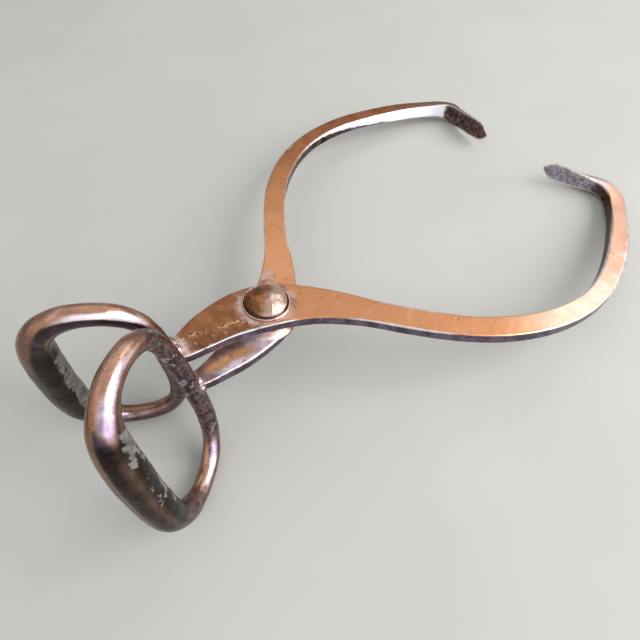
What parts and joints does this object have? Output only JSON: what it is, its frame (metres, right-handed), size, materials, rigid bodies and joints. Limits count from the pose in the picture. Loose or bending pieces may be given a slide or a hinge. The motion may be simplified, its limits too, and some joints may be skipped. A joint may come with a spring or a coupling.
{
  "type": "lifting tongs",
  "caption": "Hand-forged lifting tongs: bowed flat-bar arms crossing on one rivet, inward leaf-shaped blades, upright ring handles.",
  "frame": {"origin": "on the pivot rivet's axis, on the plane where the two arms' bosses meet", "axes": "+Z along the rivet towards its domed head; +X along the line of symmetry from the pivot to the jaw tips; +Y towards the lower arm's jaw"},
  "size_m": [0.3836, 0.253, 0.1267],
  "materials": {
    "forged_arm_steel": "hand-forged steel worn to a polish, warm copper-bronze sheen on the flats, bright worn edges, grey pitted blades",
    "handle_steel": "polished bronze-brown steel going black below, flaking grey coating on the inside of the grip, speckled pits",
    "weld_metal": "lumpy pinkish-grey weld metal, ground by hand",
    "rivet_steel": "hammered and polished dome, brown-bronze",
    "washer_steel": "dull pinkish-grey worn steel"
  },
  "bodies": {
    "upper": {"upper_arm": "forged_arm_steel", "upper_ring_handle": "handle_steel", "upper_handle_weld": "weld_metal", "pivot_rivet": "rivet_steel", "rivet_head_washer": "washer_steel", "rivet_tail_washer": "washer_steel"},
    "lower": {"lower_arm": "forged_arm_steel", "lower_ring_handle": "handle_steel", "lower_handle_weld": "weld_metal"}
  },
  "joints": [
    {"name": "pivot", "type": "hinge", "parent": "upper", "child": "lower", "pos_m": [0, 0, 0], "axis": [0, 0, 1], "range_deg": [-2, 60]}
  ]
}
